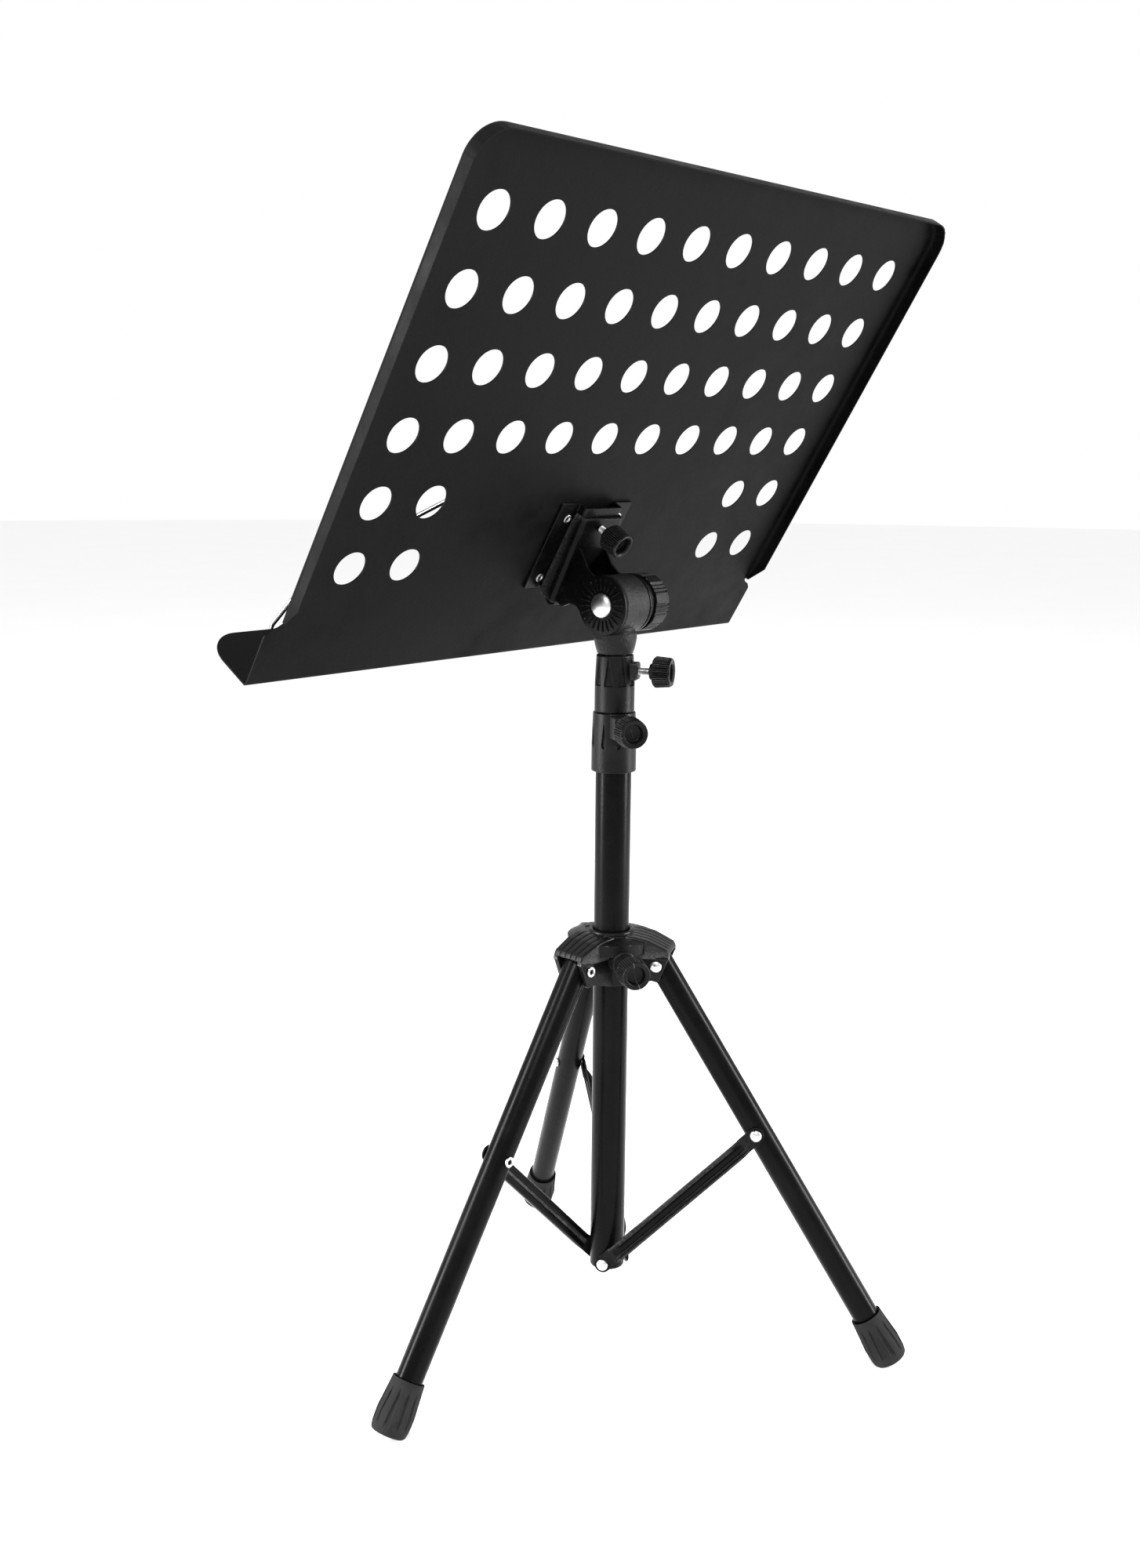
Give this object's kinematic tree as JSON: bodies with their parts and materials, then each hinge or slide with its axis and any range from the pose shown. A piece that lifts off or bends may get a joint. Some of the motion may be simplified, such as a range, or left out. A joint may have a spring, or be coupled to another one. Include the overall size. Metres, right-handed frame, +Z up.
{
  "type": "music stand",
  "caption": "Folding tripod stand with a telescoping mast and a tilting, perforated sheet-metal desk for sheet music, with a fold-up shelf and two wire page holders.",
  "frame": {"origin": "on the floor, at the middle of the whole stand seen from above", "axes": "+Z up; the musician stands on the -Y side and reads the desk, whose back faces +Y; +X to the right of the musician; the mast stands 8.2 mm toward -Y from the origin"},
  "size_m": [0.5092, 0.3828, 0.8054],
  "materials": {
    "powder_coat": "satin black powder coat",
    "black_nylon": "moulded black nylon, slightly satin",
    "foot_rubber": "matt black rubber",
    "chrome_plate": "bright chrome plate",
    "zinc_plate": "zinc-plated steel"
  },
  "bodies": {
    "mast": {"lower_tube": "powder_coat", "mast_end_cap": "black_nylon", "lower_clutch": "black_nylon", "lower_clutch_nut": "zinc_plate"},
    "hub": {"hub": "black_nylon", "hub_nut": "zinc_plate", "hub_rivet_1": "chrome_plate", "hub_rivet_2": "chrome_plate", "hub_rivet_3": "chrome_plate"},
    "hub_thumb_screw": {"hub_screw": "zinc_plate", "hub_knob": "black_nylon"},
    "lower_thumb_screw": {"lower_clutch_screw": "zinc_plate", "lower_clutch_knob": "black_nylon"},
    "middle_slide": {"middle_tube_bush": "black_nylon"},
    "middle_tube": {"middle_tube": "powder_coat", "upper_clutch": "black_nylon", "upper_clutch_nut": "zinc_plate"},
    "upper_thumb_screw": {"upper_clutch_screw": "zinc_plate", "upper_clutch_knob": "black_nylon"},
    "top_slide": {"top_tube_bush": "black_nylon"},
    "top_tube": {"top_tube": "powder_coat", "tilt_head": "black_nylon"},
    "tilt_bracket": {"tilt_bracket": "powder_coat", "tilt_bolt": "chrome_plate", "tilt_washer": "black_nylon"},
    "tilt_knob": {"tilt_knob": "black_nylon", "tilt_knob_nut": "zinc_plate"},
    "desk_thumb_screw": {"desk_screw": "zinc_plate", "desk_knob": "black_nylon"},
    "desk": {"desk": "powder_coat", "desk_bracket": "powder_coat", "desk_rivet_1": "zinc_plate", "desk_rivet_2": "zinc_plate", "desk_rivet_3": "zinc_plate", "desk_rivet_4": "zinc_plate"},
    "page_holder_left": {"page_holder_left": "chrome_plate"},
    "page_holder_right": {"page_holder_right": "chrome_plate"},
    "leg_1": {"leg_1": "powder_coat", "foot_1": "foot_rubber", "leg_1_rivet": "chrome_plate"},
    "brace_1": {"brace_1": "powder_coat", "mast_rivet_1": "chrome_plate"},
    "leg_2": {"leg_2": "powder_coat", "foot_2": "foot_rubber", "leg_2_rivet": "chrome_plate"},
    "brace_2": {"brace_2": "powder_coat", "mast_rivet_2": "chrome_plate"},
    "leg_3": {"leg_3": "powder_coat", "foot_3": "foot_rubber", "leg_3_rivet": "chrome_plate"},
    "brace_3": {"brace_3": "powder_coat", "mast_rivet_3": "chrome_plate"}
  },
  "joints": [
    {"name": "hub_slide", "type": "slide", "parent": "mast", "child": "hub", "axis": [0, 0, 1], "range_m": [0, 0.0612]},
    {"name": "leg_1_fold", "type": "hinge", "parent": "hub", "child": "leg_1", "pos_m": [0.03529, -0.01098, 0.28755], "axis": [0.0795, 0.9968, 0], "range_deg": [0, 31.81]},
    {"name": "brace_1_fold", "type": "hinge", "parent": "leg_1", "child": "brace_1", "pos_m": [0.10874, -0.01684, 0.1685], "axis": [-0.0795, -0.9968, 0], "range_deg": [0, 62.97]},
    {"name": "leg_2_fold", "type": "hinge", "parent": "hub", "child": "leg_2", "pos_m": [-0.01521, 0.0238, 0.28755], "axis": [-0.903, -0.4296, 0], "range_deg": [0, 31.81]},
    {"name": "brace_2_fold", "type": "hinge", "parent": "leg_2", "child": "brace_2", "pos_m": [-0.04686, 0.09033, 0.1685], "axis": [0.903, 0.4296, 0], "range_deg": [0, 62.97]},
    {"name": "leg_3_fold", "type": "hinge", "parent": "hub", "child": "leg_3", "pos_m": [-0.02008, -0.03732, 0.28755], "axis": [0.8235, -0.5673, 0], "range_deg": [0, 31.81]},
    {"name": "brace_3_fold", "type": "hinge", "parent": "leg_3", "child": "brace_3", "pos_m": [-0.06188, -0.098, 0.1685], "axis": [-0.8235, 0.5673, 0], "range_deg": [0, 62.97]},
    {"name": "hub_thumb_screw_turn", "type": "hinge", "parent": "hub", "child": "hub_thumb_screw", "pos_m": [0, -0.00817, 0.29184], "axis": [0.5673, 0.8235, 0], "range_deg": [0, 720]},
    {"name": "lower_thumb_screw_turn", "type": "hinge", "parent": "mast", "child": "lower_thumb_screw", "pos_m": [0, -0.00817, 0.45584], "axis": [0.5592, 0.829, 0], "range_deg": [0, 720]},
    {"name": "middle_tube_lift", "type": "slide", "parent": "mast", "child": "middle_slide", "axis": [0, 0, 1], "range_m": [0, 0.28]},
    {"name": "middle_tube_turn", "type": "hinge", "parent": "middle_slide", "child": "middle_tube", "pos_m": [0, -0.00817, 0.2], "axis": [0, 0, 1], "continuous": true},
    {"name": "upper_thumb_screw_turn", "type": "hinge", "parent": "middle_tube", "child": "upper_thumb_screw", "pos_m": [0, -0.00817, 0.49344], "axis": [-0.4035, 0.915, 0], "range_deg": [0, 720]},
    {"name": "top_tube_lift", "type": "slide", "parent": "middle_tube", "child": "top_slide", "axis": [0, 0, 1], "range_m": [0, 0.26]},
    {"name": "top_tube_turn", "type": "hinge", "parent": "top_slide", "child": "top_tube", "pos_m": [0, -0.00817, 0.3], "axis": [0, 0, 1], "continuous": true},
    {"name": "desk_tilt", "type": "hinge", "parent": "top_tube", "child": "tilt_bracket", "pos_m": [0, -0.00817, 0.53874], "axis": [1, 0, 0], "range_deg": [-58, 31]},
    {"name": "tilt_knob_turn", "type": "hinge", "parent": "tilt_bracket", "child": "tilt_knob", "pos_m": [0, -0.00817, 0.53874], "axis": [-1, 0, 0], "range_deg": [0, 720]},
    {"name": "desk_thumb_screw_turn", "type": "hinge", "parent": "tilt_bracket", "child": "desk_thumb_screw", "pos_m": [0, -0.03313, 0.59593], "axis": [0, 0.8564, -0.5162], "range_deg": [0, 720]},
    {"name": "desk_lift_off", "type": "slide", "parent": "tilt_bracket", "child": "desk", "axis": [0, 0.5162, 0.8564], "range_m": [0, 0.075]},
    {"name": "page_holder_right_swing", "type": "hinge", "parent": "desk", "child": "page_holder_right", "pos_m": [0.2095, -0.1221, 0.52185], "axis": [0, 0.5546, 0.8321], "range_deg": [0, 66]},
    {"name": "page_holder_left_swing", "type": "hinge", "parent": "desk", "child": "page_holder_left", "pos_m": [-0.2095, -0.1221, 0.52185], "axis": [0, -0.5546, -0.8321], "range_deg": [0, 66]}
  ],
  "couplings": [
    {"joint": "leg_1_fold", "follows": "hub_slide", "rad_per_m": 9.0563},
    {"joint": "brace_1_fold", "follows": "hub_slide", "rad_per_m": 17.944},
    {"joint": "leg_2_fold", "follows": "hub_slide", "rad_per_m": 9.0563},
    {"joint": "brace_2_fold", "follows": "hub_slide", "rad_per_m": 17.944},
    {"joint": "leg_3_fold", "follows": "hub_slide", "rad_per_m": 9.0563},
    {"joint": "brace_3_fold", "follows": "hub_slide", "rad_per_m": 17.944}
  ]
}
